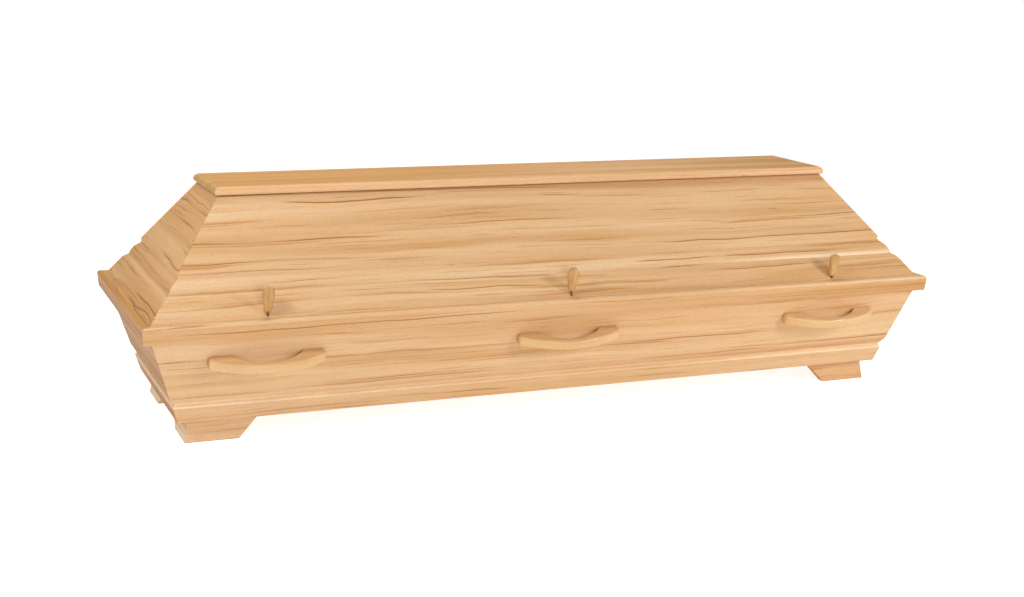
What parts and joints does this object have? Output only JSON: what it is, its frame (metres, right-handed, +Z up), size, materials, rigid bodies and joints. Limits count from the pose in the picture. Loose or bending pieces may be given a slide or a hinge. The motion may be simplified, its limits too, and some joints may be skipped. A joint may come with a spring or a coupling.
{
  "type": "wooden coffin",
  "caption": "Long beech coffin: flared body on bracket feet, bow handles, and a hipped lift-off lid with a flat top, held by wooden-headed lid screws.",
  "frame": {"origin": "on the ground, under the middle of the coffin", "axes": "+X along the length towards the right end as seen from the front, +Y towards the back, +Z up; the front side faces -Y"},
  "size_m": [2.05, 0.6892, 0.5677],
  "materials": {
    "beech": "satin lacquer",
    "pale_beech": "satin lacquer",
    "ochre_beech": "satin lacquer",
    "dark_steel": "blackened"
  },
  "bodies": {
    "root": {"side_board_front": "beech", "side_board_back": "beech", "end_board_left": "beech", "end_board_right": "beech", "floor_board": "beech", "foot_front_left": "beech", "foot_front_right": "beech", "foot_back_left": "beech", "foot_back_right": "beech", "lid_rim_front": "beech", "lid_rim_back": "beech", "lid_rim_left": "beech", "lid_rim_right": "beech", "lid_board_front": "beech", "lid_board_back": "beech", "lid_board_left": "beech", "lid_board_right": "beech", "lid_top_board": "beech", "handle_front_left": "pale_beech", "handle_front_middle": "pale_beech", "handle_front_right": "pale_beech", "handle_back_left": "pale_beech", "handle_back_middle": "pale_beech", "handle_back_right": "pale_beech", "screw_head_front_left": "ochre_beech", "screw_head_front_middle": "ochre_beech", "screw_head_front_right": "ochre_beech", "screw_head_back_left": "ochre_beech", "screw_head_back_middle": "ochre_beech", "screw_head_back_right": "ochre_beech", "screw_pin_front_left": "dark_steel", "screw_pin_front_middle": "dark_steel", "screw_pin_front_right": "dark_steel", "screw_pin_back_left": "dark_steel", "screw_pin_back_middle": "dark_steel", "screw_pin_back_right": "dark_steel"}
  },
  "joints": []
}
